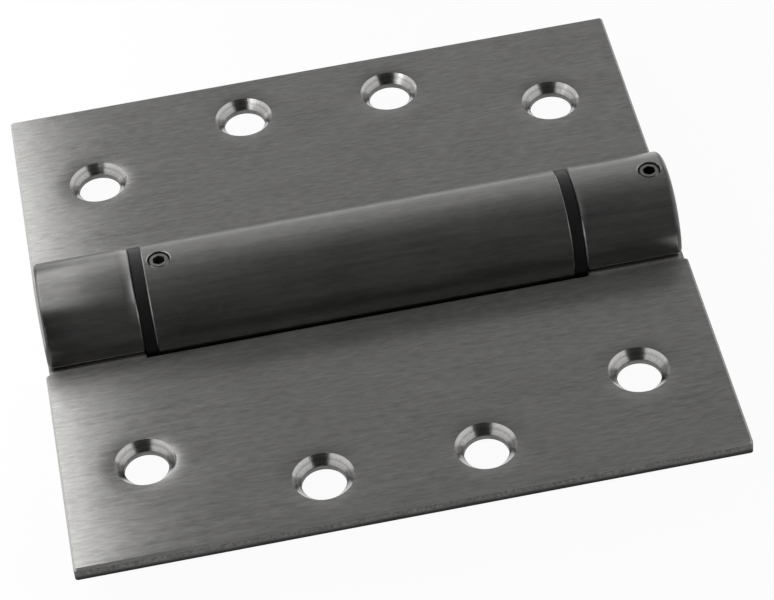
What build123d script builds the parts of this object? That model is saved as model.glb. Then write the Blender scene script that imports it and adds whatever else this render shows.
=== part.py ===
"""Adjustable spring hinge: two rolled leaves, a torsion spring and its adjuster, opened flat."""

import os
from math import pi, sqrt

from build123d import *

os.makedirs("parts", exist_ok=True)

# Frame: X runs along the barrel, +Y to the rear leaf, +Z out of the countersunk faces.
# The origin is on the barrel's axis, half way along it. All sizes are in millimetres.

# Leaves
leaf_length = 114.3
open_width = 114.3
leaf_thickness = 2.5
closed_gap = 2.2  # between the two countersunk faces when the hinge is shut
leaf_corner_radius = 0.6
leaf_edge_break = 0.4  # on the three outer edges of a leaf's face

# Screw holes, two rows on each leaf
outer_hole_spacing = 85.2
outer_hole_row = 36.0  # from the barrel's axis
inner_hole_spacing = 27.7
inner_hole_row = 46.75
screw_hole_dia = 7.65
countersink_dia = 10.6
countersink_angle = 82.0

# Barrel, rolled from the leaves
barrel_dia = 21.6
centre_knuckle_length = 74.5
knuckle_recess = 0.65  # the barrel ends this far inside the leaves' ends
notch_clearance = 0.4  # between a knuckle and the other leaf's edge
seam_gap = 0.25  # between a roll's free end and its own leaf
lip_round = 1.0  # on a roll's free end
root_fillet = 3.0  # where a leaf's back turns into the roll
knuckle_end_round = 1.0  # on the barrel's two outer ends
knuckle_edge_break = 0.3  # on the knuckle ends beside the bearings

# Bearings between the knuckles
flange_thickness = 2.0
flange_inset = 0.2  # under the barrel's surface
left_sleeve_length = 7.0
left_sleeve_dia = 12.0
right_sleeve_length = 8.0
end_play = 0.08  # between a flange and the end knuckle beside it
running_clearance = 0.05  # radial, where one piece turns in another
seat_clearance = 0.03  # radial, where a piece is seated for good

# Plugs in the barrel
journal_dia = 9.0
plug_recess = 0.4  # plug ends under the barrel's ends
plug_edge_break = 0.4
anchor_length = 12.0
nose_dia = 8.0
nose_length = 6.5
hex_socket_flats = 6.35
hex_socket_depth = 7.0

# Set screws, standing upright in the barrel's wall
anchor_screw_inset = 2.95  # from the centre knuckle's left end
tension_screw_inset = 3.3  # from the barrel's right end
set_screw_dia = 4.0
set_screw_length = 3.2
set_screw_recess = 0.35  # under the barrel's crown
set_screw_flats = 2.0
set_screw_socket_depth = 1.6
set_screw_edge_break = 0.35
tapped_mouth_dia = 4.5  # break at the mouth of the tapped hole
screw_tip_clearance = 0.2  # round the tip of a set screw, in the plug that it holds

# Torsion spring of square wire
wire_side = 2.4
spring_turns = 16
coil_steps = 16  # flats in one turn of the coil
spring_bore_clearance = 0.9  # radial room for the coil inside the barrel
spring_end_clearance = 0.5
tang_clearance = 0.2  # on each side of a tang in its slot

# Places that follow from the sizes above
half_length = leaf_length / 2
half_width = open_width / 2
barrel_r = barrel_dia / 2
bore_r = barrel_r - leaf_thickness
face_z = -closed_gap / 2
back_z = face_z - leaf_thickness
notch_y = barrel_r + notch_clearance
root_y = notch_y + 2 * root_fillet
centre_half = centre_knuckle_length / 2
flange_end = centre_half + flange_thickness
end_knuckle_start = flange_end + end_play
knuckle_end = half_length - knuckle_recess
plug_end = knuckle_end - plug_recess
flange_r = barrel_r - flange_inset
journal_r = journal_dia / 2
journal_bore_r = journal_r + running_clearance
nose_r = nose_dia / 2
seated_plug_r = bore_r - seat_clearance
turning_plug_r = bore_r - running_clearance
left_sleeve_r = left_sleeve_dia / 2
anchor_screw_x = -centre_half + anchor_screw_inset
tension_screw_x = knuckle_end - tension_screw_inset
set_screw_r = set_screw_dia / 2
set_screw_top = barrel_r - set_screw_recess
set_screw_tip = set_screw_top - set_screw_length
screw_seat_r = set_screw_tip - screw_tip_clearance
screw_room_r = set_screw_r + screw_tip_clearance
anchor_shoulder_x = -centre_half + anchor_length
right_sleeve_x = centre_half - right_sleeve_length
coil_r = bore_r - spring_bore_clearance - wire_side / 2
coil_start = anchor_shoulder_x + spring_end_clearance + wire_side / 2
coil_end = right_sleeve_x - spring_end_clearance - wire_side / 2
slot_width = wire_side + 2 * tang_clearance
hole_places = [
    (sign * spacing / 2, row)
    for spacing, row in ((outer_hole_spacing, outer_hole_row), (inner_hole_spacing, inner_hole_row))
    for sign in (-1, 1)
]


def knuckle_section(side, x):
    """Section across a rolled knuckle and the root of its leaf, at x; side is -1 in front, 1 behind."""
    with BuildSketch(Plane.YZ.offset(x)) as section:
        Circle(barrel_r)
        with Locations((side * root_y / 2, face_z - leaf_thickness / 2)):
            Rectangle(root_y, leaf_thickness)
        back_meets_barrel = (side * sqrt(barrel_r**2 - back_z**2), back_z)
        fillet(section.vertices().sort_by_distance(back_meets_barrel)[0], root_fillet)
        Circle(bore_r, mode=Mode.SUBTRACT)
        with Locations((side * (bore_r + barrel_r) / 2, face_z + seam_gap / 2)):
            Rectangle(2 * leaf_thickness, seam_gap, mode=Mode.SUBTRACT)
        lip = (side * barrel_r, face_z + seam_gap)
        fillet(section.vertices().sort_by_distance(lip)[0], lip_round)
    return section.sketch


def leaf_plate(side):
    """Flat of a leaf, notched clear of the barrel, with the outer edges of its face broken."""
    with BuildPart() as plate:
        with BuildSketch(Plane.XY.offset(back_z)):
            with Locations((0, side * (notch_y + half_width) / 2)):
                RectangleRounded(leaf_length, half_width - notch_y, leaf_corner_radius)
        extrude(amount=leaf_thickness)
        face_edges = plate.edges().group_by(Axis.Z)[-1].sort_by_distance((0, side * notch_y, face_z))
        chamfer(face_edges[1:], leaf_edge_break)
    return plate.part


def turned(stations):
    """Half section of a turned piece: its (x, radius) corners, closed along the barrel's axis."""
    first_x = stations[0][0]
    last_x = stations[-1][0]
    with BuildSketch() as half:
        with BuildLine():
            Polyline((first_x, 0), *stations, (last_x, 0), close=True)
        make_face()
    return half.sketch


def barrel_rims(leaf):
    """Outer round edges of a leaf's knuckles, grouped from left to right."""
    round_edges = leaf.edges().filter_by(GeomType.CIRCLE)
    return round_edges.filter_by(lambda edge: abs(edge.radius - barrel_r) < 1e-4).group_by(Axis.X)


front_plate = leaf_plate(-1)
with BuildPart() as front_leaf:
    for start in (-knuckle_end, end_knuckle_start):
        extrude(knuckle_section(-1, start), amount=knuckle_end - end_knuckle_start)
    chamfer(barrel_rims(front_leaf)[1] + barrel_rims(front_leaf)[2], knuckle_edge_break)
    fillet(barrel_rims(front_leaf)[0] + barrel_rims(front_leaf)[-1], knuckle_end_round)
    add(front_plate)
    with Locations(*[(x, -y, face_z) for x, y in hole_places]):
        CounterSinkHole(screw_hole_dia / 2, countersink_dia / 2, counter_sink_angle=countersink_angle)
    with Locations((tension_screw_x, 0, barrel_r)):
        CounterSinkHole(set_screw_r, tapped_mouth_dia / 2, depth=barrel_r, counter_sink_angle=90)
front_leaf.part.label = "front_leaf"
export_step(front_leaf.part, "parts/front_leaf.step")

rear_plate = leaf_plate(1)
with BuildPart() as rear_leaf:
    extrude(knuckle_section(1, -centre_half), amount=centre_knuckle_length)
    chamfer(barrel_rims(rear_leaf)[0] + barrel_rims(rear_leaf)[-1], knuckle_edge_break)
    add(rear_plate)
    with Locations(*[(x, y, face_z) for x, y in hole_places]):
        CounterSinkHole(screw_hole_dia / 2, countersink_dia / 2, counter_sink_angle=countersink_angle)
    with Locations((anchor_screw_x, 0, barrel_r)):
        CounterSinkHole(set_screw_r, tapped_mouth_dia / 2, depth=barrel_r, counter_sink_angle=90)
rear_leaf.part.label = "rear_leaf"
export_step(rear_leaf.part, "parts/rear_leaf.step")

with BuildPart() as left_pivot:
    journal_tip = -centre_half + left_sleeve_length
    revolve(
        turned(
            [
                (-plug_end, seated_plug_r),
                (-end_knuckle_start, seated_plug_r),
                (-end_knuckle_start, journal_r),
                (journal_tip, journal_r),
            ]
        ),
        axis=Axis.X,
    )
    chamfer(left_pivot.edges().group_by(Axis.X)[0], plug_edge_break)
    chamfer(left_pivot.edges().group_by(Axis.X)[-1], plug_edge_break)
left_pivot.part.label = "left_pivot"
export_step(left_pivot.part, "parts/left_pivot.step")

with BuildPart() as left_bearing:
    with BuildSketch(Plane.YZ.offset(-flange_end)):
        Circle(flange_r)
        Circle(journal_bore_r, mode=Mode.SUBTRACT)
    extrude(amount=flange_thickness)
    with BuildSketch(Plane.YZ.offset(-centre_half)):
        Circle(left_sleeve_r - seat_clearance)
        Circle(journal_bore_r, mode=Mode.SUBTRACT)
    extrude(amount=left_sleeve_length)
left_bearing.part.label = "left_bearing"
export_step(left_bearing.part, "parts/left_bearing.step")

with BuildPart() as right_bearing:
    with BuildSketch(Plane.YZ.offset(centre_half)):
        Circle(flange_r)
        Circle(journal_bore_r, mode=Mode.SUBTRACT)
    extrude(amount=flange_thickness)
    with BuildSketch(Plane.YZ.offset(right_sleeve_x)):
        Circle(seated_plug_r)
        Circle(journal_bore_r, mode=Mode.SUBTRACT)
    extrude(amount=right_sleeve_length)
right_bearing.part.label = "right_bearing"
export_step(right_bearing.part, "parts/right_bearing.step")

with BuildPart() as spring_anchor:
    nose_tip = anchor_shoulder_x + nose_length
    revolve(
        turned(
            [
                (-centre_half, seated_plug_r),
                (anchor_shoulder_x, seated_plug_r),
                (anchor_shoulder_x, nose_r),
                (nose_tip, nose_r),
            ]
        ),
        axis=Axis.X,
    )
    with BuildSketch(Plane.YZ.offset(-centre_half)):
        Circle(left_sleeve_r)
    extrude(amount=left_sleeve_length + spring_end_clearance, mode=Mode.SUBTRACT)
    with BuildSketch(Plane.YZ.offset(nose_tip)):
        Rectangle(slot_width, 2 * nose_r)
    extrude(amount=-nose_length, mode=Mode.SUBTRACT)
    with BuildSketch(Plane.XY.offset(screw_seat_r)):
        with Locations((anchor_screw_x, 0)):
            Circle(screw_room_r)
    extrude(amount=barrel_r, mode=Mode.SUBTRACT)
spring_anchor.part.label = "spring_anchor"
export_step(spring_anchor.part, "parts/spring_anchor.step")

with BuildPart() as tension_adjuster:
    journal_tip = right_sleeve_x - spring_end_clearance / 2
    nose_tip = right_sleeve_x - nose_length
    groove_start = tension_screw_x - screw_room_r
    groove_end = tension_screw_x + screw_room_r
    revolve(
        turned(
            [
                (nose_tip, nose_r),
                (journal_tip, nose_r),
                (journal_tip, journal_r),
                (end_knuckle_start, journal_r),
                (end_knuckle_start, turning_plug_r),
                (groove_start, turning_plug_r),
                (groove_start, screw_seat_r),
                (groove_end, screw_seat_r),
                (groove_end, turning_plug_r),
                (plug_end, turning_plug_r),
            ]
        ),
        axis=Axis.X,
    )
    with BuildSketch(Plane.YZ.offset(plug_end)):
        RegularPolygon(hex_socket_flats / 2, 6, major_radius=False, rotation=30)
    extrude(amount=-hex_socket_depth, mode=Mode.SUBTRACT)
    with BuildSketch(Plane.YZ.offset(nose_tip)):
        Rectangle(slot_width, 2 * nose_r)
    extrude(amount=nose_length, mode=Mode.SUBTRACT)
tension_adjuster.part.label = "tension_adjuster"
export_step(tension_adjuster.part, "parts/tension_adjuster.step")


def wire_sections():
    """Planes across the spring's wire, from tang to tang, and the width of the wire in each."""
    pitch = (coil_end - coil_start) / spring_turns
    bend_width = wire_side * sqrt(2)
    sections = [
        (Plane((coil_start, 0, -nose_r), x_dir=(0, 1, 0), z_dir=(0, 0, 1)), wire_side),
        (Plane((coil_start, 0, coil_r), x_dir=(0, 1, 1), z_dir=(0, -1, 1)), bend_width),
    ]
    for step in range(1, spring_turns * coil_steps):
        turns = step / coil_steps
        outward = Vector(0, 0, 1).rotate(Axis.X, 360 * turns)
        along = Vector(0, -1, 0).rotate(Axis.X, 360 * turns) + Vector(pitch / (2 * pi * coil_r), 0, 0)
        centre = outward * coil_r + Vector(coil_start + pitch * turns, 0, 0)
        sections.append((Plane(centre, x_dir=outward, z_dir=along), wire_side))
    sections += [
        (Plane((coil_end, 0, coil_r), x_dir=(0, -1, 1), z_dir=(0, -1, -1)), bend_width),
        (Plane((coil_end, 0, -nose_r), x_dir=(0, -1, 0), z_dir=(0, 0, -1)), wire_side),
    ]
    return sections


with BuildPart() as torsion_spring:
    for plane, width in wire_sections():
        with BuildSketch(plane):
            Rectangle(width, wire_side)
    loft(ruled=True)
torsion_spring.part.label = "torsion_spring"
export_step(torsion_spring.part, "parts/torsion_spring.step")


def set_screw(x):
    """Socket set screw upright in the barrel's wall at x, with a flat point."""
    with BuildPart() as screw:
        with BuildSketch(Plane.XY.offset(set_screw_tip)):
            with Locations((x, 0)):
                Circle(set_screw_r - seat_clearance)
        extrude(amount=set_screw_length)
        chamfer(screw.edges().filter_by(GeomType.CIRCLE), set_screw_edge_break)
        with BuildSketch(Plane.XY.offset(set_screw_top)):
            with Locations((x, 0)):
                RegularPolygon(set_screw_flats / 2, 6, major_radius=False)
        extrude(amount=-set_screw_socket_depth, mode=Mode.SUBTRACT)
    return screw.part


anchor_set_screw = set_screw(anchor_screw_x)
anchor_set_screw.label = "anchor_set_screw"
export_step(anchor_set_screw, "parts/anchor_set_screw.step")

tension_set_screw = set_screw(tension_screw_x)
tension_set_screw.label = "tension_set_screw"
export_step(tension_set_screw, "parts/tension_set_screw.step")
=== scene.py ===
"""Looks of a satin stainless spring hinge that lies open on a pale studio floor."""

import logging
import math
from collections.abc import Mapping, Sequence
from dataclasses import dataclass
from enum import Enum
from typing import Protocol

import bmesh
import bpy
from mathutils import Matrix, Quaternion, Vector


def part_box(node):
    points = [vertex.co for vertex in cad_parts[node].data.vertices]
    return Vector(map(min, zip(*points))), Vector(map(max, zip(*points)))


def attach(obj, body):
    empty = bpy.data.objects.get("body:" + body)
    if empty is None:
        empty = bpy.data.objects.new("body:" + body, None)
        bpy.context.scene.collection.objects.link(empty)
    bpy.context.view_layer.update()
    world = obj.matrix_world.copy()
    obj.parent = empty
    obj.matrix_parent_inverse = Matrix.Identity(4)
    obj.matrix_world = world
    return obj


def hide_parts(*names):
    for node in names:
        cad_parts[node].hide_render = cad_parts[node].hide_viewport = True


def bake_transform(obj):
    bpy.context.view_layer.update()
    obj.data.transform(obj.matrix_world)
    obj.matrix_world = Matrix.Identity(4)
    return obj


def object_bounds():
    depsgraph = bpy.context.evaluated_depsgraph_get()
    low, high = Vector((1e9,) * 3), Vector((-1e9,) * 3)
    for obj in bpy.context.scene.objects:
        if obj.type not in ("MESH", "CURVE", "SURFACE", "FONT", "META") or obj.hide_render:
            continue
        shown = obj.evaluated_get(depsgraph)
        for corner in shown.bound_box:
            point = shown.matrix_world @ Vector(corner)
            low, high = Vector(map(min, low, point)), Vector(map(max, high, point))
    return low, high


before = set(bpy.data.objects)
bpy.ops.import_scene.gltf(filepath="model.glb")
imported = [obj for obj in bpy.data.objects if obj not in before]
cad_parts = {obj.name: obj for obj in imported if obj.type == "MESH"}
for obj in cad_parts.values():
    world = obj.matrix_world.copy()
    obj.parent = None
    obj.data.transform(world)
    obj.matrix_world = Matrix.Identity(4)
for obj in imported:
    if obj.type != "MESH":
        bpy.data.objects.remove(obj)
CAD_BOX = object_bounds()

LOG = logging.getLogger("spring_hinge")
MM = 0.001  # metres in a millimetre
SHARP_ANGLE = 32.0  # degrees above which an edge is shaded sharp
LEVEL_GAP = 1e-3  # millimetres within which corners lie at one height
MERGE_GAP = 1e-4  # millimetres within which corners are one
CUT_GAP = 1e-5  # millimetres within which a corner lies on a cut
ORIGIN = (0.0, 0.0, 0.0)
NOISE_MIDDLE = 0.5
MIX_FACTOR, MIX_LOW, MIX_HIGH, MIX_RESULT = 0, 6, 7, 2  # colour sockets of a Mix node

Colour = tuple[float, float, float]
Span = tuple[float, float]
MeshItem = bmesh.types.BMVert | bmesh.types.BMEdge | bmesh.types.BMFace


class Slot(Enum):
    """Names of material slots in the record."""

    WIRE = "spring_wire"
    SET_SCREW = "set_screw_steel"


class Body(Enum):
    """Moving bodies that new pieces ride on."""

    REAR = "rear_half"
    FRONT = "front_half"


class Signal:
    """Output of a shader node that takes part in Python arithmetic."""

    def __init__(self, net: "NodeNet", socket: bpy.types.NodeSocket) -> None:
        """Keeps the node tree and the output socket."""
        self.net = net
        self.socket = socket

    def _math(self, operation: str, *operands: "Signal | float") -> "Signal":
        """Adds a Math node.

        Args:
            operation: The node's operation.
            operands: Its inputs, in order.

        Returns:
            The node's value.
        """
        return self.net.node("ShaderNodeMath", {"operation": operation}, dict(enumerate(operands)))

    def __add__(self, other: "Signal | float") -> "Signal":
        """Sum of two values."""
        return self._math("ADD", self, other)

    def __radd__(self, other: float) -> "Signal":
        """Sum of a number and this value."""
        return self._math("ADD", other, self)

    def __sub__(self, other: "Signal | float") -> "Signal":
        """Difference of two values."""
        return self._math("SUBTRACT", self, other)

    def __rsub__(self, other: float) -> "Signal":
        """A number less this value."""
        return self._math("SUBTRACT", other, self)

    def __mul__(self, other: "Signal | float") -> "Signal":
        """Product of two values."""
        return self._math("MULTIPLY", self, other)

    def __rmul__(self, other: float) -> "Signal":
        """Product of a number and this value."""
        return self._math("MULTIPLY", other, self)

    def __truediv__(self, other: "Signal | float") -> "Signal":
        """Quotient of two values."""
        return self._math("DIVIDE", self, other)

    def __rtruediv__(self, other: float) -> "Signal":
        """A number over this value."""
        return self._math("DIVIDE", other, self)

    def __pow__(self, power: "Signal | float") -> "Signal":
        """Power of this value."""
        return self._math("POWER", self, power)

    def __abs__(self) -> "Signal":
        """This value without its sign."""
        return self._math("ABSOLUTE", self)

    def least(self, other: "Signal | float") -> "Signal":
        """Lesser of two values."""
        return self._math("MINIMUM", self, other)

    def most(self, other: "Signal | float") -> "Signal":
        """Greater of two values."""
        return self._math("MAXIMUM", self, other)

    def sine(self) -> "Signal":
        """Sine of this value in radians."""
        return self._math("SINE", self)

    def step(self, low: float, high: float) -> "Signal":
        """Eases from 0 to 1 between two levels.

        Args:
            low: Level where the result is 0.
            high: Level where the result is 1; below low it makes a falling edge.

        Returns:
            The eased value.
        """
        rising = low < high
        sockets = {
            "Value": self,
            "From Min": min(low, high),
            "From Max": max(low, high),
            "To Min": 0.0 if rising else 1.0,
            "To Max": 1.0 if rising else 0.0,
        }
        settings = {"interpolation_type": "SMOOTHSTEP", "clamp": True}
        return self.net.node("ShaderNodeMapRange", settings, sockets)

    def near(self, level: float, fade: Span) -> "Signal":
        """Eases from 0 to 1 over a span that is counted from a level."""
        return self.step(level + fade[0], level + fade[1])

    def sway(self, gain: float) -> "Signal":
        """Swing of a noise about its middle, times a gain."""
        return (self - NOISE_MIDDLE) * gain

    def unit(self) -> "Signal":
        """Takes -1 to 1 on to 0 to 1."""
        return self * 0.5 + 0.5

    def diagonal(self, other: "Signal") -> "Signal":
        """Length of the diagonal over two legs."""
        return (self**2.0 + other**2.0) ** 0.5

    def fall(self, start: float, width: float, curve: float) -> "Signal":
        """Falls from 1 at a start to 0 a width further on, along a power curve."""
        share = (self - start) / width
        return (1.0 - share.most(0.0).least(1.0)) ** curve


SocketValue = Signal | float | Sequence[float]


class NodeNet:
    """Node tree of a material or a world, built node by node."""

    def __init__(self, owner: bpy.types.Material | bpy.types.World) -> None:
        """Empties the owner's node tree.

        Args:
            owner: Material or world that the nodes belong to.
        """
        owner.use_nodes = True
        self.tree = owner.node_tree
        self.tree.nodes.clear()

    def _add(
        self,
        kind: str,
        settings: Mapping[str, object] | None,
        sockets: Mapping[str | int, SocketValue] | None,
    ) -> bpy.types.Node:
        """Adds one node.

        Args:
            kind: Type name of the node.
            settings: Its own settings, set first; "stops" are a ramp's places and grey levels.
            sockets: Values or links of its inputs, by name or number.

        Returns:
            The node.
        """
        made = self.tree.nodes.new(kind)
        for name, value in (settings or {}).items():
            if name == "stops":
                self._set_stops(made.color_ramp, value)
            else:
                setattr(made, name, value)
        for key, value in (sockets or {}).items():
            if isinstance(value, Signal):
                self.tree.links.new(value.socket, made.inputs[key])
            else:
                made.inputs[key].default_value = value
        return made

    @staticmethod
    def _set_stops(ramp: bpy.types.ColorRamp, stops: Sequence[Span]) -> None:
        """Gives a ramp its grey stops.

        Args:
            ramp: The ramp, with Blender's two stops.
            stops: Place and level of each stop, from left to right.
        """
        while len(ramp.elements) < len(stops):
            ramp.elements.new(0.5)
        for element, (place, level) in zip(ramp.elements, stops):
            element.position = place
            element.color = (level, level, level, 1.0)

    def node(
        self,
        kind: str,
        settings: Mapping[str, object] | None = None,
        sockets: Mapping[str | int, SocketValue] | None = None,
        output: str | int = 0,
    ) -> Signal:
        """Adds one node and gives back one of its outputs.

        Args:
            kind: Type name of the node.
            settings: Its own settings.
            sockets: Values or links of its inputs, by name or number.
            output: The output that is returned.

        Returns:
            That output.
        """
        return Signal(self, self._add(kind, settings, sockets).outputs[output])

    def end(self, shader: Signal, kind: str = "ShaderNodeOutputMaterial") -> None:
        """Links a shader to the tree's output node."""
        self._add(kind, None, {"Surface": shader})

    def axes(self, vector: Signal, names: str) -> list[Signal]:
        """The named axes of a vector."""
        return [self.node("ShaderNodeSeparateXYZ", None, {0: vector}, axis) for axis in names]

    def spot(self) -> Signal:
        """Object coordinates in metres."""
        return self.node("ShaderNodeTexCoord", output="Object")

    def millimetres(self, spot: Signal) -> list[Signal]:
        """The x, y and z of object coordinates in millimetres."""
        return [axis / MM for axis in self.axes(spot, "XYZ")]

    def ramp(self, level: Signal, stops: Sequence[Span]) -> Signal:
        """Grey level read off a ramp."""
        return self.node("ShaderNodeValToRGB", {"stops": stops}, {0: level})

    def blend(self, mask: Signal, low: SocketValue, high: SocketValue) -> Signal:
        """Colour that passes from one to another under a mask.

        Args:
            mask: 0 where the first shows and 1 where the second does.
            low: First colour.
            high: Second colour.

        Returns:
            The mixed colour.
        """
        sockets = {MIX_FACTOR: mask, MIX_LOW: low, MIX_HIGH: high}
        return self.node("ShaderNodeMix", {"data_type": "RGBA"}, sockets, MIX_RESULT)

    def bump(
        self, height: Signal, strength: float, depth: float, under: Signal | None = None
    ) -> Signal:
        """Normal bent by a height.

        Args:
            height: Height, from 0 to 1.
            strength: Share of the bend that is used.
            depth: Height in millimetres that 1 stands for.
            under: Normal that is bent, or None for the plain one.

        Returns:
            The bent normal.
        """
        sockets = {"Strength": strength, "Distance": depth * MM, "Height": height}
        if under is not None:
            sockets["Normal"] = under
        return self.node("ShaderNodeBump", None, sockets)

    def metal(self, colour: Signal, rough: Signal, normal: Signal) -> None:
        """Ends the tree in bare metal."""
        sockets = {"Base Color": colour, "Metallic": 1.0, "Roughness": rough, "Normal": normal}
        self.end(self.node("ShaderNodeBsdfPrincipled", None, sockets))


@dataclass(frozen=True)
class Grain:
    """Noise drawn out along the axes: cells per metre along x, y and z, and octaves."""

    scale: tuple[float, float, float]
    detail: float

    def field(self, net: NodeNet, spot: Signal) -> Signal:
        """Makes the noise.

        Args:
            net: Node tree of the finish.
            spot: Object coordinates.

        Returns:
            A value round 0.5.
        """
        product = {"operation": "MULTIPLY"}
        drawn = net.node("ShaderNodeVectorMath", product, {0: spot, 1: self.scale})
        sockets = {"Vector": drawn, "Scale": 1.0, "Detail": self.detail}
        return net.node("ShaderNodeTexNoise", None, sockets)


@dataclass(frozen=True)
class Tone:
    """Colour that wanders between a darker and a lighter share of itself."""

    colour: Colour
    darkest: float
    lightest: float

    def mix(self, net: NodeNet, level: Signal) -> Signal:
        """Makes the colour.

        Args:
            net: Node tree of the finish.
            level: 0 for the darkest and 1 for the lightest.

        Returns:
            The colour at that level.
        """
        dark, light = (
            (*(share * channel for channel in self.colour), 1.0)
            for share in (self.darkest, self.lightest)
        )
        return net.blend(level, dark, light)


class Finish(Protocol):
    """Anything that makes a material."""

    def make(self) -> bpy.types.Material:
        """Builds the material."""


def new_net(name: str) -> tuple[bpy.types.Material, NodeNet]:
    """Makes an empty material.

    Args:
        name: Name of the material.

    Returns:
        The material and its node tree.
    """
    material = bpy.data.materials.new(name)
    return material, NodeNet(material)


@dataclass(frozen=True)
class LeafZones:
    """Places of the leaf's zones in millimetres; a fade runs from 0 to 1 and counts from its size.

    The turn fades are shares of the plain normal, along the barrel or upwards.
    """

    hole_places: tuple[Span, ...] = ((42.6, 36.0), (13.85, 46.75))
    hole_radius: float = 3.825
    land_fade: Span = (0.16, 0.04)
    sink_radius: float = 5.3
    sink_fade: Span = (0.05, -0.05)
    sink_clear_fade: Span = (0.1, 0.5)
    face_z: float = -1.1
    thickness: float = 2.5
    back_fade: Span = (0.03, 0.1)
    edge_turn: Span = (0.95, 0.85)
    side_turn: Span = (0.6, 0.45)
    barrel_radius: float = 10.8
    barrel_fade: Span = (0.3, 0.05)
    corner_fade: Span = (9.0, 0.0)
    barrel_end_x: float = 56.5
    end_fade: Span = (-3.0, -1.5)
    # painted shade on the barrel's end rims
    rim_turn: Span = (0.05, 0.25)
    rim_stop: Span = (0.85, 0.65)
    # painted glint on the upper part of the end rims
    glint_turn: Span = (0.4, 0.6)
    glint_stop: Span = (0.99, 0.93)
    glint_z: Span = (2.0, 5.0)
    glint_right_loss: float = 0.9
    # painted shade on the right end's rim
    right_rim_shade_turn: Span = (0.25, 0.5)
    # painted shade at the left end of the left knuckle
    left_end_shade_x: Span = (-49.0, -56.0)
    shoulder_x: float = 39.33
    shoulder_round: float = 2.2
    slump_z: Span = (5.5, 9.5)
    # painted highlight on the left knuckle beside its bearing
    shoulder_highlight_start: Span = (-1.0, -0.5)
    shoulder_highlight_full: float = 0.4
    shoulder_highlight_z: Span = (4.5, 7.5)
    # the lip's underside, which gets a painted highlight
    lip_fade: Span = (0.1, 0.2)
    lip_turn: Span = (0.3, 0.6)
    # painted shade on the steel just above the lip
    crease_shade_turn: Span = (0.2, -0.02)
    seam_area: Span = (0.0, -2.0)
    # painted highlight on the leaf face beside an end knuckle's seam
    seam_highlight_fade: Span = (1.3, -0.3)
    seam_highlight_start: Span = (0.0, 0.5)
    # painted shade on the front leaf's corner beside the left knuckle
    corner_shade_fade: Span = (5.0, 1.0)
    corner_shade_x: Span = (-10.0, -38.0)


@dataclass(frozen=True)
class LeafGrains:
    """Noises of the leaf finish: brush marks, clouds and the broken look of a cut."""

    micro: Grain = Grain((300.0, 9000.0, 9000.0), 1.0)
    fine: Grain = Grain((420.0, 1900.0, 1900.0), 1.0)
    long: Grain = Grain((45.0, 1000.0, 1000.0), 1.0)
    cloud: Grain = Grain((90.0, 130.0, 130.0), 3.0)
    shear: Grain = Grain((2300.0, 2300.0, 1500.0), 3.0)


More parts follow.
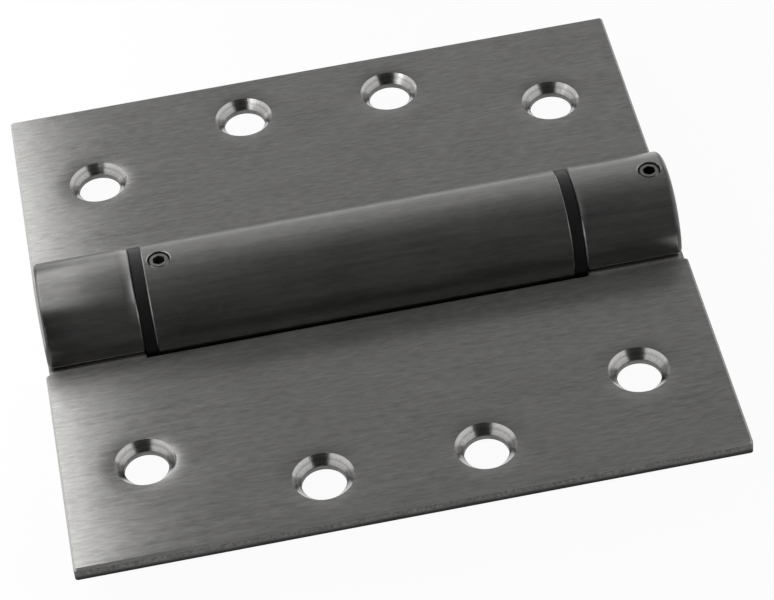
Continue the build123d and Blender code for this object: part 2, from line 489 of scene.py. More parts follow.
class LeafField:
    """Places, noises and masks on a leaf that the parts of its finish share."""

    def __init__(self, net: NodeNet, zones: LeafZones, grains: LeafGrains) -> None:
        """Works out every value once.

        Args:
            net: Node tree of the finish.
            zones: Sizes that place the masks.
            grains: The noises.
        """
        self.net = net
        self.zones = zones
        spot = net.spot()
        self.x, self.y, self.z = net.millimetres(spot)
        self.along, self.up = net.axes(net.node("ShaderNodeTexCoord", output="Normal"), "XZ")
        self.micro = grains.micro.field(net, spot)
        self.fine = grains.fine.field(net, spot)
        self.long = grains.long.field(net, spot)
        self.cloud = grains.cloud.field(net, spot)
        self.shear = grains.shear.field(net, spot)
        self.right = self.x.step(0.0, 1.0)
        self.outward = abs(self.x) - zones.shoulder_x
        self.barrel = self.y.diagonal(self.z).near(zones.barrel_radius, zones.barrel_fade)
        self.flat = 1.0 - self.barrel
        self.front = self.z.near(zones.face_z - zones.thickness, zones.back_fade)
        self.hole = self._hole_distance()
        self.bored = self.hole.near(zones.sink_radius, zones.sink_fade) * self.front
        self.land = self.hole.near(zones.hole_radius, zones.land_fade)
        self.corner = abs(self.y).near(zones.barrel_radius, zones.corner_fade) * self.flat
        self.edge, self.side = self._edges()
        # painted shade and a painted glint on the barrel's end rims
        self.rim, self.glint, self.right_rim_shade = self._barrel_ends()
        # painted shade at the left end of the left knuckle
        self.left_end_shade = self.x.step(*zones.left_end_shade_x) * self.barrel
        # painted highlight on the left knuckle beside its bearing
        self.shoulder_highlight = self._shoulder_highlight()
        # painted highlight on the lip's underside and painted shade on the steel above it
        self.lip, self.under = self._seams()
        # painted highlight on the leaf face beside an end knuckle's seam
        self.foot = self._seam_highlight()
        # painted shade on the front leaf's corner beside the left knuckle
        self.corner_shade = self._corner_shade()

    def _hole_distance(self) -> Signal:
        """Distance from the nearest screw hole's axis.

        Returns:
            The distance in millimetres.
        """
        nearest = None
        for along, across in self.zones.hole_places:
            gap = (abs(self.x) - along).diagonal(abs(self.y) - across)
            nearest = gap if nearest is None else nearest.least(gap)
        return nearest

    def _edges(self) -> tuple[Signal, Signal]:
        """Masks of the edges round a leaf, clear of the holes.

        Returns:
            A mask of the broken and the sheared edges, then one of the sheared edges alone.
        """
        zones = self.zones
        level = abs(self.up)
        clear = self.hole.near(zones.sink_radius, zones.sink_clear_fade) * self.flat
        return level.step(*zones.edge_turn) * clear, level.step(*zones.side_turn) * clear

    def _barrel_ends(self) -> tuple[Signal, Signal, Signal]:
        """Masks of the rounded rims at the barrel's ends.

        Returns:
            A mask of the rim, which gets painted shade, then of the rim's upper part, which gets a
            painted glint, and then of the right end's rim, which gets more painted shade.
        """
        zones = self.zones
        end = abs(self.x).near(zones.barrel_end_x, zones.end_fade) * self.barrel
        turn = abs(self.along)
        # painted glint on the upper part of the rims
        glint = turn.step(*zones.glint_turn) * turn.step(*zones.glint_stop)
        glint = glint * self.z.step(*zones.glint_z)
        # painted shade on the rims, except under the painted glint
        rim = turn.step(*zones.rim_turn) * turn.step(*zones.rim_stop) * (1.0 - glint)
        # painted shade on the right end's rim
        right_rim_shade = turn.step(*zones.right_rim_shade_turn) * end * self.right
        return rim * end, glint * end * (1.0 - zones.glint_right_loss * self.right), right_rim_shade

    def _shoulder_highlight(self) -> Signal:
        """Mask of a painted highlight on the strip of the left knuckle beside its bearing, high on
        the barrel.

        Returns:
            1 at the shoulder, easing to 0 outwards and downwards.
        """
        zones = self.zones
        strip = self.outward.step(zones.shoulder_round, zones.shoulder_highlight_full)
        strip = strip * self.outward.step(*zones.shoulder_highlight_start) * self.z.step(*zones.shoulder_highlight_z)
        return strip * self.barrel * (1.0 - self.right)

    def _seams(self) -> tuple[Signal, Signal]:
        """Masks of the roll where it comes back to its own leaf.

        Returns:
            A mask of the lip's underside, which gets a painted highlight, then one of the steel
            above it, which is in front on the end knuckles and behind on the centre knuckle and
            gets painted shade.
        """
        zones = self.zones
        above = self.z.near(zones.face_z, zones.lip_fade) * self.barrel
        own_side = (self.outward * self.y).step(*zones.seam_area)
        lip = (0.0 - self.up).step(*zones.lip_turn) * above
        return lip, self.up.step(*zones.crease_shade_turn) * above * own_side

    def _seam_highlight(self) -> Signal:
        """Mask of a painted highlight on a leaf's face close to the seam of an end knuckle.

        Returns:
            1 at the seam, easing to 0 outwards.
        """
        near = abs(self.y).near(self.zones.barrel_radius, self.zones.seam_highlight_fade)
        return near * self.outward.step(*self.zones.seam_highlight_start) * self.flat

    def _corner_shade(self) -> Signal:
        """Mask of painted shade on the front leaf's left inner corner.

        Returns:
            1 beside the left knuckle, easing to 0 outwards and to the right.
        """
        ahead = 0.0 - self.y
        near = ahead.near(self.zones.barrel_radius, self.zones.corner_shade_fade)
        return near * ahead.step(0.0, 1.0) * self.x.step(*self.zones.corner_shade_x) * self.flat


@dataclass(frozen=True)
class BrushedLeafSteel:
    """Satin stainless of the leaves: brushed faces, bored countersinks and sheared edges."""

    zones: LeafZones = LeafZones()
    grains: LeafGrains = LeafGrains()
    satin: Tone = Tone((0.285, 0.282, 0.275), 0.3, 1.7)
    bored: Tone = Tone((0.41, 0.406, 0.398), 0.4, 1.15)
    # darker punched land; on a thin ring at the cone's inner edge this tone is painted shade
    land: Tone = Tone((0.16, 0.158, 0.155), 0.7, 1.5)
    burnished: Tone = Tone((0.125, 0.124, 0.121), 0.1, 2.0)
    fractured: Tone = Tone((0.036, 0.0357, 0.035), 0.6, 1.6)
    # painted highlight on the lip's underside
    lip_highlight: Tone = Tone((0.8, 0.792, 0.775), 0.9, 1.1)
    plain_level: float = 0.5
    fine_sway: float = 0.4
    long_sway: float = 0.14
    cloud_sway: float = 0.16
    barrel_calm: float = 0.3
    # painted shade on the barrel's end rims
    rim_shade_loss: float = 0.9
    # brightening of worn edges, partly a painted highlight, and of the painted glint on the end
    # rims
    wear_and_highlight_gain: float = 0.48
    sheen_right_loss: float = 1.4
    # painted highlight on the leaf face beside an end knuckle's seam
    seam_highlight_gain: float = 0.45
    # painted shade on the steel just above the lip
    crease_shade_loss: float = 0.28
    # painted shade on the front leaf's corner beside the left knuckle
    corner_shade_loss: float = 0.2
    # painted highlight on the left knuckle beside its bearing
    shoulder_highlight_gain: float = 0.5
    # painted shade on the right end's rim
    right_rim_shade_loss: float = 0.35
    # painted shade at the left end of the left knuckle
    left_end_shade_loss: float = 0.3
    bore_stops: tuple[Span, ...] = (
        (0.0, 0.05),
        (0.22, 0.4),
        (0.4, 0.65),
        (0.55, 0.15),
        (0.78, 1.0),
        (1.0, 0.85),
    )
    bore_sway: float = 0.3
    tool_share: float = 0.6
    torn_fade: Span = (0.54, 0.86)
    torn_cloud_sway: float = 0.35
    torn_shear_sway: float = 0.25
    roughness: float = 0.28
    rough_sway: float = 0.08
    corner_roughness: float = 0.58
    barrel_roughness: float = 0.3
    bored_roughness: float = 0.2
    land_rough_gain: float = 0.3
    sheared_roughness: float = 0.5
    torn_rough_gain: float = 0.15
    lip_roughness: float = 0.55
    barrel_smooth: float = 0.8
    micro_height: float = 1.9
    fine_height: float = 0.3
    bored_height: float = 2.4
    side_height: float = 2.0
    grain_strength: float = 0.6
    grain_depth: float = 0.007
    dish_width: float = 3.8
    dish_curve: float = 3.0
    dish_height: float = -1.15
    slump_curve: float = 2.0
    slump_height: float = 2.4
    rolled_depth: float = 0.16

    def make(self) -> bpy.types.Material:
        """Builds the material."""
        material, net = new_net("satin_leaf_steel")
        leaf = LeafField(net, self.zones, self.grains)
        torn = self._torn(leaf)
        upper, lower = (tone.mix(net, leaf.shear) for tone in (self.burnished, self.fractured))
        colour = net.blend(leaf.bored, self.satin.mix(net, self._polish(leaf)), self._bore(leaf))
        colour = net.blend(leaf.side, colour, net.blend(torn, upper, lower))
        # painted highlight on the lip's underside
        colour = net.blend(leaf.lip, colour, self.lip_highlight.mix(net, leaf.fine))
        net.metal(colour, self._rough(leaf, torn), self._normal(leaf))
        return material

    def _polish(self, leaf: LeafField) -> Signal:
        """Brightness of the brushed steel.

        Args:
            leaf: The shared values.

        Returns:
            The plain level, less under painted shade and more under painted highlights and on worn
            edges.
        """
        brushed = leaf.fine.sway(self.fine_sway) + leaf.long.sway(self.long_sway)
        streak = brushed * (1.0 - self.barrel_calm * leaf.barrel) + leaf.cloud.sway(self.cloud_sway)
        # worn edges are brightened; the brightening fades out on edges that face right, so in part
        # it is a painted highlight
        edge_wear_and_sheen = (leaf.edge - leaf.side) * (1.0 - leaf.along.most(0.0) * self.sheen_right_loss)
        polish = self.plain_level + streak
        for mask, gain in (
            # painted shade on the barrel's end rims
            (leaf.rim, -self.rim_shade_loss),
            # worn edges, partly a painted highlight, and the painted glint on the end rims
            (edge_wear_and_sheen + leaf.glint, self.wear_and_highlight_gain),
            # painted highlight on the leaf face beside an end knuckle's seam
            (leaf.foot, self.seam_highlight_gain),
            # painted shade on the steel just above the lip
            (leaf.under, -self.crease_shade_loss),
            # painted shade on the front leaf's corner beside the left knuckle
            (leaf.corner_shade, -self.corner_shade_loss),
            # painted highlight on the left knuckle beside its bearing
            (leaf.shoulder_highlight, self.shoulder_highlight_gain),
            # painted shade on the right end's rim
            (leaf.right_rim_shade, -self.right_rim_shade_loss),
            # painted shade at the left end of the left knuckle
            (leaf.left_end_shade, -self.left_end_shade_loss),
        ):
            polish = polish + mask * gain
        return polish

    def _bore(self, leaf: LeafField) -> Signal:
        """Colour of the countersinks and of the land below them.

        Args:
            leaf: The shared values.

        Returns:
            Tool rings in the cone and a darker punched land, whose dark also covers a thin ring at
            the cone's inner edge as painted shade.
        """
        zones = self.zones
        share = (leaf.hole - zones.hole_radius) / (zones.sink_radius - zones.hole_radius)
        ring = leaf.net.ramp(share + leaf.cloud.sway(self.bore_sway), self.bore_stops)
        tooled = self.bored.mix(leaf.net, ring * self.tool_share + leaf.shear * self.tool_share)
        return leaf.net.blend(leaf.land, tooled, self.land.mix(leaf.net, leaf.fine))

    def _torn(self, leaf: LeafField) -> Signal:
        """Mask of the torn lower part of a sheared edge.

        Args:
            leaf: The shared values.

        Returns:
            0 on the burnished upper part and 1 on the torn one.
        """
        depth = (self.zones.face_z - leaf.z) / self.zones.thickness
        ragged = leaf.cloud.sway(self.torn_cloud_sway) + leaf.shear.sway(self.torn_shear_sway)
        return (depth + ragged).step(*self.torn_fade)

    def _rough(self, leaf: LeafField, torn: Signal) -> Signal:
        """Roughness of every part.

        Args:
            leaf: The shared values.
            torn: Mask of the torn edge.

        Returns:
            The roughness.
        """
        rough = self.roughness + leaf.long.sway(self.rough_sway) + leaf.cloud.sway(self.rough_sway)
        for mask, gain in (
            (leaf.barrel, self.barrel_roughness - self.roughness),
            (leaf.lip, self.lip_roughness - self.barrel_roughness),
            (leaf.corner, self.corner_roughness - self.roughness),
            (leaf.bored, self.bored_roughness - self.roughness),
            (leaf.land, self.land_rough_gain),
            (leaf.edge, self.sheared_roughness - self.roughness),
            (leaf.side * torn, self.torn_rough_gain),
        ):
            rough = rough + mask * gain
        return rough

    def _normal(self, leaf: LeafField) -> Signal:
        """Brush grain over the slight sinking round holes and at the end knuckles' shoulders.

        Args:
            leaf: The shared values.

        Returns:
            The bent normal.
        """
        zones = self.zones
        plain = (1.0 - leaf.bored) * (1.0 - leaf.edge) * (1.0 - self.barrel_smooth * leaf.barrel)
        height = (leaf.micro * self.micro_height + leaf.fine * self.fine_height) * plain
        cut = leaf.bored * self.bored_height + leaf.side * self.side_height
        grain = leaf.net.bump(height + leaf.shear * cut, self.grain_strength, self.grain_depth)
        dish = leaf.hole.fall(zones.sink_radius, self.dish_width, self.dish_curve) * leaf.front
        slump = leaf.outward.fall(0.0, zones.shoulder_round, self.slump_curve)
        slump = slump * leaf.z.step(*zones.slump_z) * leaf.barrel
        rolled = dish * self.dish_height - slump * self.slump_height
        return leaf.net.bump(rolled, 1.0, self.rolled_depth, grain)


@dataclass(frozen=True)
class TurnedSteel:
    """Bright steel of the turned plugs, with fine turning rings."""

    tone: Tone = Tone((0.4, 0.395, 0.385), 0.7, 1.0)
    wobble: Grain = Grain((400.0, 400.0, 400.0), 2.0)
    stain: Grain = Grain((120.0, 120.0, 120.0), 3.0)
    ring_pitch: float = 0.12
    ring_wobble: float = 4.0
    ring_share: float = 0.4
    ring_depth: float = 0.006
    ring_strength: float = 0.3
    roughness: float = 0.3
    rough_sway: float = 0.15

    def make(self) -> bpy.types.Material:
        """Builds the material."""
        material, net = new_net("turned_plug_steel")
        spot = net.spot()
        x, y, z = net.millimetres(spot)
        phase = (y.diagonal(z) + x) * (math.tau / self.ring_pitch)
        ring = (phase + self.wobble.field(net, spot) * self.ring_wobble).sine().unit()
        stain = self.stain.field(net, spot)
        colour = self.tone.mix(net, ring * self.ring_share + stain * (1.0 - self.ring_share))
        normal = net.bump(ring, self.ring_strength, self.ring_depth)
        net.metal(colour, self.roughness + stain.sway(self.rough_sway), normal)
        return material


@dataclass(frozen=True)
class SpringWireSteel:
    """Dark oil-tempered wire of the torsion spring."""

    tone: Tone = Tone((0.13, 0.127, 0.125), 0.5, 1.5)
    scale: Grain = Grain((700.0, 700.0, 700.0), 4.0)
    blotch: Grain = Grain((90.0, 160.0, 160.0), 2.0)
    scale_share: float = 0.6
    scale_depth: float = 0.02
    scale_strength: float = 0.35
    roughness: float = 0.38
    rough_sway: float = 0.2

    def make(self) -> bpy.types.Material:
        """Builds the material."""
        material, net = new_net("oil_tempered_wire")
        spot = net.spot()
        scale = self.scale.field(net, spot)
        blotch = self.blotch.field(net, spot)
        colour = self.tone.mix(net, scale * self.scale_share + blotch * (1.0 - self.scale_share))
        normal = net.bump(scale, self.scale_strength, self.scale_depth)
        net.metal(colour, self.roughness + scale.sway(self.rough_sway), normal)
        return material


@dataclass(frozen=True)
class SetScrewSteel:
    """Plain steel of a set screw, darkened in its hexagon socket."""

    axis_x: float
    tone: Tone = Tone((0.24, 0.236, 0.23), 0.7, 1.3)
    socket: Tone = Tone((0.08, 0.078, 0.076), 1.0, 1.8)
    speck: Grain = Grain((1500.0, 1500.0, 1500.0), 3.0)
    socket_radius: float = 1.05
    socket_fade: Span = (0.12, -0.05)
    speck_depth: float = 0.01
    speck_strength: float = 0.3
    roughness: float = 0.34
    rough_sway: float = 0.2
    socket_rough_gain: float = 0.2

    def make(self) -> bpy.types.Material:
        """Builds the material."""
        material, net = new_net("set_screw_steel")
        spot = net.spot()
        x, y, _ = net.millimetres(spot)
        inside = (x - self.axis_x).diagonal(y).near(self.socket_radius, self.socket_fade)
        speck = self.speck.field(net, spot)
        colour = net.blend(inside, self.tone.mix(net, speck), self.socket.mix(net, speck))
        rough = self.roughness + speck.sway(self.rough_sway) + inside * self.socket_rough_gain
        net.metal(colour, rough, net.bump(speck, self.speck_strength, self.speck_depth))
        return material


@dataclass(frozen=True)
class BlackNylon:
    """Black moulded nylon of the bearings, with a fine dull grain."""

    tone: Tone = Tone((0.004, 0.0039, 0.0038), 0.7, 1.6)
    grain: Grain = Grain((2200.0, 2200.0, 2200.0), 3.0)
    rub: Grain = Grain((240.0, 240.0, 240.0), 2.0)
    grain_depth: float = 0.02
    grain_strength: float = 0.3
    roughness: float = 0.38
    rough_sway: float = 0.2
    gloss: float = 0.5

    def make(self) -> bpy.types.Material:
        """Builds the material."""
        material, net = new_net("black_moulded_nylon")
        spot = net.spot()
        grain = self.grain.field(net, spot)
        sockets = {
            "Base Color": self.tone.mix(net, self.rub.field(net, spot)),
            "Roughness": self.roughness + grain.sway(self.rough_sway),
            "Specular IOR Level": self.gloss,
            "Normal": net.bump(grain, self.grain_strength, self.grain_depth),
        }
        net.end(net.node("ShaderNodeBsdfPrincipled", None, sockets))
        return material


@dataclass(frozen=True)
class FlagBlack:
    """Dull black card that keeps the floor's white out of the steel, with a faint paper tooth."""

    tone: Tone = Tone((0.01, 0.01, 0.01), 0.8, 1.2)
    tooth: Grain = Grain((800.0, 800.0, 800.0), 2.0)

    def make(self) -> bpy.types.Material:
        """Builds the material."""
        material, net = new_net("flag_black")
        colour = self.tone.mix(net, self.tooth.field(net, net.spot()))
        net.end(net.node("ShaderNodeBsdfDiffuse", None, {"Color": colour}))
        return material


@dataclass(frozen=True)
class StudioWhite:
    """Pale floor that the camera and reflections see as near white, with a soft shadow."""

    colour: float = 0.9
    white_share: float = 0.95

    def make(self) -> bpy.types.Material:
        """Builds the material."""
        material, net = new_net("studio_floor_white")
        camera, glossy, transmission = (
            net.node("ShaderNodeLightPath", output=f"Is {ray} Ray")
            for ray in ("Camera", "Glossy", "Transmission")
        )
        share = camera.most(glossy).most(transmission) * self.white_share
        matt = net.node("ShaderNodeBsdfDiffuse", None, {"Color": (self.colour,) * 3 + (1.0,)})
        glow = {"Color": (1.0, 1.0, 1.0, 1.0), "Strength": 1.0}
        white = net.node("ShaderNodeEmission", None, glow)
        net.end(net.node("ShaderNodeMixShader", None, {0: share, 1: matt, 2: white}))
        return material


def open_edges(shape: bmesh.types.BMesh, height: float) -> list[bmesh.types.BMEdge]:
    """Free edges of a mesh at one height.

    Args:
        shape: The mesh.
        height: Their height.

    Returns:
        The edges that border one face or none.
    """
    return [
        edge
        for edge in shape.edges
        if len(edge.link_faces) < 2
        and all(abs(vert.co.z - height) < LEVEL_GAP for vert in edge.verts)
    ]


def everything(shape: bmesh.types.BMesh) -> list[MeshItem]:
    """All corners, edges and faces of a mesh."""
    return shape.verts[:] + shape.edges[:] + shape.faces[:]


def corners(items: Sequence[MeshItem]) -> list[bmesh.types.BMVert]:
    """The corners among what an operator gave back."""
    return [item for item in items if isinstance(item, bmesh.types.BMVert)]


def add_object(name: str, data: bpy.types.ID) -> bpy.types.Object:
    """Puts an object with its data at the scene's origin.

    Args:
        name: Name of the object.
        data: Its mesh, lamp or camera.

    Returns:
        The object.
    """
    made = bpy.data.objects.new(name, data)
    bpy.context.scene.collection.objects.link(made)
    return made


def add_piece(
    name: str, shape: bmesh.types.BMesh, material: bpy.types.Material
) -> bpy.types.Object:
    """Turns a finished bmesh into an object at the origin.

    Args:
        name: Name of the piece.
        shape: The mesh, which is freed.
        material: Its finish.

    Returns:
        The object.
    """
    mesh = bpy.data.meshes.new(name)
    for face in shape.faces:
        face.smooth = True
    shape.to_mesh(mesh)
    shape.free()
    mesh.set_sharp_from_angle(angle=math.radians(SHARP_ANGLE))
    mesh.materials.append(material)
    return add_object(name, mesh)


@dataclass
class DressedNodes:
    """CAD nodes that share one finish."""

    nodes: tuple[str, ...]
    finish: Finish

    def build(self) -> None:
        """Makes the finish and dresses every node in it."""
        material = self.finish.make()
        for node in self.nodes:
            self._dress(node, material)

    @staticmethod
    def _dress(node: str, material: bpy.types.Material) -> None:
        """Gives a CAD node its finish.

        Args:
            node: Name of the node.
            material: The finish.
        """
        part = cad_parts[node]
        if not part.material_slots:
            part.data.materials.append(material)
        for slot in part.material_slots:
            slot.material = material
        LOG.info("%s dressed in %s", node, material.name)


@dataclass
class LeafPair(DressedNodes):
    """The two leaves with their rolled knuckles."""

    nodes: tuple[str, ...] = ("front_leaf", "rear_leaf")
    finish: Finish = BrushedLeafSteel()


@dataclass
class BarrelPlugs(DressedNodes):
    """Turned plugs in the barrel."""

    nodes: tuple[str, ...] = ("left_pivot", "spring_anchor", "tension_adjuster")
    finish: Finish = TurnedSteel()


@dataclass
class Bearings(DressedNodes):
    """Flanged nylon bearings between the knuckles."""

    nodes: tuple[str, ...] = ("left_bearing", "right_bearing")
    finish: Finish = BlackNylon()


@dataclass
class SetScrew:
    """Socket set screw with a cut thread, upright in the barrel's wall."""

    node: str
    body: Body
    pitch: float = 0.7
    thread_depth: float = 0.38
    root_end: float = 0.25
    crest_start: float = 0.5625
    crest_end: float = 0.6875
    lead_in_turns: float = 1.5
    spare_turns: int = 2
    chamfer: float = 0.35
    socket_flats: float = 2.0
    socket_depth: float = 1.6
    drill_point: float = 0.35
    steps: int = 36

    def build(self) -> None:
        """Makes the screw in place of its plain node."""
        low, high = (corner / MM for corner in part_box(self.node))
        middle = (low.x + high.x) / 2
        crest = (high.x - low.x) / 2
        shape = self._thread(crest, low.z, high.z)
        self._trim(shape, crest, low.z, high.z)
        self._cut_socket(shape, high.z)
        bmesh.ops.recalc_face_normals(shape, faces=shape.faces)
        bmesh.ops.translate(shape, verts=shape.verts, vec=(middle, 0.0, 0.0))
        bmesh.ops.scale(shape, verts=shape.verts, vec=(MM, MM, MM))
        finish = SetScrewSteel(axis_x=middle)
        piece = add_piece(f"{self.node}_threaded", shape, finish.make())
        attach(piece, self.body.value)
        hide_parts(self.node)
        LOG.info("%s threaded", self.node)

    def _thread(self, crest: float, bottom: float, top: float) -> bmesh.types.BMesh:
        """Spins a saw-tooth line up the screw and past both ends.

        Args:
            crest: Radius over the thread.
            bottom: Height of the screw's tip.
            top: Height of its head end.

        Returns:
            The threaded skin, open at both ends.
        """
        shape = bmesh.new()
        root = crest - self.thread_depth
        crests = ((self.crest_start, crest), (self.crest_end, crest))
        tooth = ((0.0, root), (self.root_end, root), *crests)
        turns = math.ceil((top - bottom) / self.pitch) + self.spare_turns
        foot = bottom - self.lead_in_turns * self.pitch
        line = [
            shape.verts.new((radius, 0.0, foot + (turn + share) * self.pitch))
            for turn in range(turns)
            for share, radius in tooth
        ]
        edges = [shape.edges.new(pair) for pair in zip(line, line[1:])]
        bmesh.ops.spin(
            shape,
            geom=line + edges,
            cent=ORIGIN,
            axis=(0.0, 0.0, 1.0),
            dvec=(0.0, 0.0, self.pitch / self.steps),
            angle=math.tau,
            steps=self.steps,
            use_merge=False,
        )
        bmesh.ops.remove_doubles(shape, verts=shape.verts, dist=MERGE_GAP)
        return shape

    def _trim(self, shape: bmesh.types.BMesh, crest: float, bottom: float, top: float) -> None:
        """Cuts the thread to length, chamfers both ends and closes the tip.

        Args:
            shape: The threaded skin.
            crest: Radius over the thread.
            bottom: Height of the screw's tip.
            top: Height of its head end.
        """
        for height, up, trim in (
            (top, 1.0, True),
            (bottom, -1.0, True),
            (top - self.chamfer, 1.0, False),
            (bottom + self.chamfer, 1.0, False),
        ):
            bmesh.ops.bisect_plane(
                shape,
                geom=everything(shape),
                dist=CUT_GAP,
                plane_co=(0.0, 0.0, height),
                plane_no=(0.0, 0.0, up),
                clear_outer=trim,
            )
        for vert in shape.verts:
            end_gap = min(top - vert.co.z, vert.co.z - bottom)
            limit = crest - max(0.0, self.chamfer - end_gap)
            share = min(1.0, limit / vert.co.xy.length)
            vert.co.x *= share
            vert.co.y *= share
        bmesh.ops.contextual_create(shape, geom=open_edges(shape, bottom))

    def _cut_socket(self, shape: bmesh.types.BMesh, top: float) -> None:
        """Closes the screw's top round a hexagon socket.

        Args:
            shape: The threaded skin.
            top: Height of its open end.
        """
        rim = open_edges(shape, top)
        ring = bmesh.ops.create_circle(shape, segments=6, radius=self.socket_flats / math.sqrt(3))
        bmesh.ops.translate(shape, verts=ring["verts"], vec=(0.0, 0.0, top))
        mouth = list({edge for vert in ring["verts"] for edge in vert.link_edges})
        bmesh.ops.bridge_loops(shape, edges=rim + mouth)
        floor = corners(bmesh.ops.extrude_edge_only(shape, edges=mouth)["geom"])
        bmesh.ops.translate(shape, verts=floor, vec=(0.0, 0.0, -self.socket_depth))
        bottom = bmesh.ops.contextual_create(shape, geom=open_edges(shape, top - self.socket_depth))
        point = bmesh.ops.poke(shape, faces=bottom["faces"])["verts"]
        bmesh.ops.translate(shape, verts=point, vec=(0.0, 0.0, -self.drill_point))


@dataclass
class TorsionSpring:
    """Square-wire torsion spring; on the real hinge it winds up as the leaves fold."""

    node: str = "torsion_spring"
    wire: float = 2.4
    corner: float = 0.3
    corner_steps: int = 2
    turns: int = 16
    turn_steps: int = 40
    tang_reach: float = 4.0
    finish: Finish = SpringWireSteel()

    def build(self) -> None:
        """Makes the coil in place of its faceted node."""
        low, high = (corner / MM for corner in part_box(self.node))
        start, end = low.x + self.wire / 2, high.x - self.wire / 2
        radius = (high.y - low.y) / 2 - self.wire / 2
        shape = self._section(start, radius)
        first = shape.verts[:]
        steps = self.turns * self.turn_steps
        coil = bmesh.ops.spin(
            shape,
            geom=everything(shape),
            cent=ORIGIN,
            axis=(1.0, 0.0, 0.0),
            dvec=((end - start) / steps, 0.0, 0.0),
            angle=math.tau * self.turns,
            steps=steps,
            use_merge=False,
        )
        self._turn_in(shape, first, radius, 1.0)
        self._turn_in(shape, corners(coil["geom_last"]), radius, -1.0)
        bmesh.ops.recalc_face_normals(shape, faces=shape.faces)
        bmesh.ops.scale(shape, verts=shape.verts, vec=(MM, MM, MM))
        piece = add_piece("torsion_spring_coil", shape, self.finish.make())
        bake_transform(piece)
        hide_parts(self.node)
        LOG.info("%s coiled in %d turns", self.node, self.turns)

    def _section(self, start: float, radius: float) -> bmesh.types.BMesh:
        """Draws the wire's square section with rounded corners at the coil's top.

        Args:
            start: Place of the coil's first end along the barrel.
            radius: Mean radius of the coil.

        Returns:
            A mesh of that one face.
        """
        shape = bmesh.new()
        section = bmesh.ops.create_circle(
            shape, cap_ends=True, segments=4, radius=self.wire / math.sqrt(2)
        )["verts"]
        square = Matrix.Rotation(math.pi / 2, 3, "X") @ Matrix.Rotation(math.pi / 4, 3, "Z")
        bmesh.ops.rotate(shape, verts=section, cent=ORIGIN, matrix=square)
        bmesh.ops.translate(shape, verts=section, vec=(start, 0.0, radius))
        bmesh.ops.bevel(
            shape,
            geom=section,
            offset=self.corner,
            affect="VERTICES",
            segments=self.corner_steps,
            profile=0.5,
            material=-1,
        )
        return shape

    def _turn_in(
        self, shape: bmesh.types.BMesh, ring: list[bmesh.types.BMVert], radius: float, lean: float
    ) -> None:
        """Mitres an end of the coil and draws its tang through the axis.

        Args:
            shape: The coil.
            ring: Corners of the wire at that end, at the coil's top.
            radius: Mean radius of the coil.
            lean: 1 where the wire comes up into the coil, -1 where it goes down.
        """
        for vert in ring:
            vert.co.y = lean * (vert.co.z - radius)
        cap = next(face for face in ring[0].link_faces if all(vert in ring for vert in face.verts))
        for vert in corners(bmesh.ops.extrude_face_region(shape, geom=[cap])["geom"]):
            vert.co.z = -self.tang_reach


@dataclass
class PhotoCamera:
    """Camera that stands in front of the hinge, above it."""

    name: str = "studio_camera"
    target: tuple[float, float, float] = (3.78, -8.32, -1.1)
    azimuth: float = -5.33
    elevation: float = 44.37
    roll: float = -6.72
    distance: float = 563.3
    lens: float = 149.25
    sensor: float = 36.0
    nearest: float = 0.01
    farthest: float = 100.0

    def build(self) -> None:
        """Makes the camera and hands it to the scene."""
        data = bpy.data.cameras.new(self.name)
        data.sensor_width = self.sensor
        data.lens = self.lens
        data.clip_start = self.nearest
        data.clip_end = self.farthest
        camera = add_object(self.name, data)
        turn, tilt = math.radians(self.azimuth), math.radians(self.elevation)
        back = Vector(
            (math.sin(turn) * math.cos(tilt), -math.cos(turn) * math.cos(tilt), math.sin(tilt))
        )
        camera.location = (Vector(self.target) + back * self.distance) * MM
        camera.rotation_mode = "QUATERNION"
        level = (-back).to_track_quat("-Z", "Y")
        camera.rotation_quaternion = level @ Quaternion((0.0, 0.0, 1.0), math.radians(self.roll))
        bpy.context.scene.camera = camera
        LOG.info("camera %.0f mm from the hinge", self.distance)


@dataclass(frozen=True)
class SoftPanel:
    """One soft rectangular studio lamp."""

    name: str
    place: tuple[float, float, float]
    aim: tuple[float, float, float]
    size: Span
    brightness: float

    def build(self) -> None:
        """Makes the lamp; its power gives the panel the stated brightness."""
        data = bpy.data.lights.new(self.name, "AREA")
        data.shape = "RECTANGLE"
        data.size, data.size_y = (side * MM for side in self.size)
        data.energy = self.brightness * math.pi * data.size * data.size_y
        lamp = add_object(self.name, data)
        lamp.location = Vector(self.place) * MM
        lamp.rotation_mode = "QUATERNION"
        direction = Vector(self.aim) - Vector(self.place)
        lamp.rotation_quaternion = direction.to_track_quat("-Z", "Y")
        lamp.visible_camera = False
        LOG.info("lamp %s", self.name)


@dataclass(frozen=True)
class BlackCard:
    """Card laid on the floor that only the steel sees, as in a studio."""

    name: str
    middle: Span
    reach: Span
    lift: float = 0.2
    finish: Finish = FlagBlack()

    def build(self) -> None:
        """Lays the card."""
        shape = bmesh.new()
        bmesh.ops.create_grid(shape, x_segments=1, y_segments=1, size=MM)
        bmesh.ops.scale(shape, verts=shape.verts, vec=(*self.reach, 1.0))
        centre = (self.middle[0] * MM, self.middle[1] * MM, CAD_BOX[0].z + self.lift * MM)
        bmesh.ops.translate(shape, verts=shape.verts, vec=centre)
        card = add_piece(self.name, shape, self.finish.make())
        card.visible_camera = False
        card.visible_diffuse = False
        card.visible_shadow = False
        LOG.info("card %s", self.name)


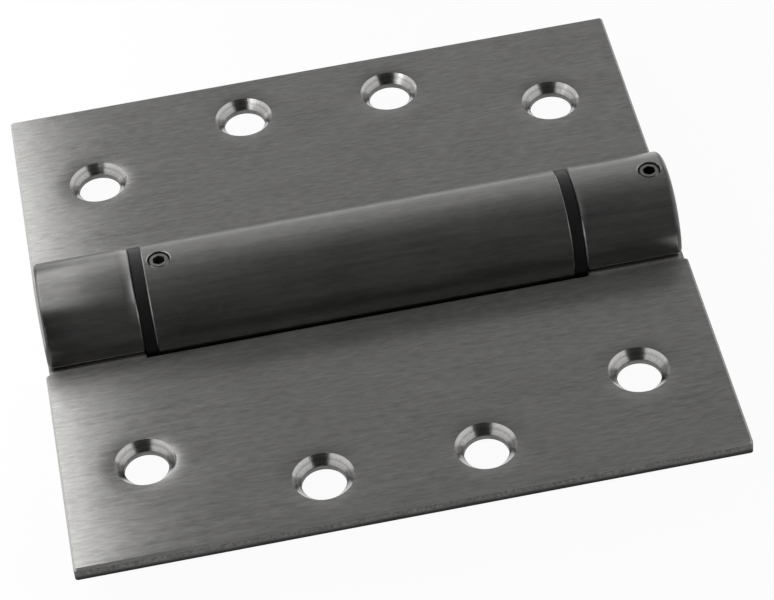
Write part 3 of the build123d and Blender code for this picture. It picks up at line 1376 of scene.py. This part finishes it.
@dataclass
class Studio:
    """Floor, surrounding light, cards and lamps."""

    floor_reach: float = 6000.0
    floor_finish: Finish = StudioWhite()
    depth_stops: tuple[Span, ...] = (
        (0.0, 0.055),
        (0.14, 0.045),
        (0.5, 0.105),
        (0.735, 0.29),
        (0.832, 0.36),
        (0.85, 0.42),
        (0.877, 0.56),
        (1.0, 0.6),
    )
    side_level: float = 1.1
    side_edge: Span = (0.43, 0.54)
    corner_edge: Span = (0.66, 0.8)
    corner_gain: float = 1.3
    cards: tuple[BlackCard, ...] = (
        BlackCard("front_card", (0.0, -1580.0), (1500.0, 1500.0)),
        # dark sheet under the hinge that the steel reflects in place of the shaded floor: painted
        # shade
        BlackCard("barrel_shadow_card", (0.0, 0.0), (56.0, 20.0)),
    )
    panels: tuple[SoftPanel, ...] = (
        SoftPanel("left_panel", (-122.5, 65.0, 101.5), (-160.0, 65.0, 36.55), (180.0, 150.0), 2.9),
    )

    def build(self) -> None:
        """Makes the floor, the world, the cards and the lamps."""
        self._floor()
        self._world()
        for item in (*self.cards, *self.panels):
            item.build()

    def _floor(self) -> None:
        """Lays the floor under the barrel."""
        shape = bmesh.new()
        bmesh.ops.create_grid(shape, x_segments=2, y_segments=2, size=self.floor_reach * MM)
        bmesh.ops.translate(shape, verts=shape.verts, vec=(0.0, 0.0, CAD_BOX[0].z))
        add_piece("studio_floor", shape, self.floor_finish.make())

    def _world(self) -> None:
        """Surrounds the hinge with a dim front, a paler rear and two bright sides."""
        world = bpy.data.worlds.new("studio_surround")
        bpy.context.scene.world = world
        net = NodeNet(world)
        direction = net.node("ShaderNodeTexCoord", output="Generated")
        across, depth = net.axes(direction, "XY")
        middle = net.ramp(depth.unit(), self.depth_stops)
        side = abs(across).step(*self.side_edge)
        level = self.side_level + depth.step(*self.corner_edge) * self.corner_gain
        colour = net.blend(side, middle, level)
        glow = net.node("ShaderNodeBackground", None, {"Color": colour, "Strength": 1.0})
        net.end(glow, "ShaderNodeOutputWorld")


def main() -> None:
    """Builds and dresses the hinge, then the studio round it."""
    logging.basicConfig(level=logging.INFO, format="%(name)s: %(message)s")
    bpy.context.scene.view_settings.view_transform = "Standard"
    LeafPair().build()
    BarrelPlugs().build()
    Bearings().build()
    TorsionSpring().build()
    SetScrew("anchor_set_screw", Body.REAR).build()
    SetScrew("tension_set_screw", Body.FRONT).build()
    Studio().build()
    PhotoCamera().build()


if __name__ == "__main__":
    main()
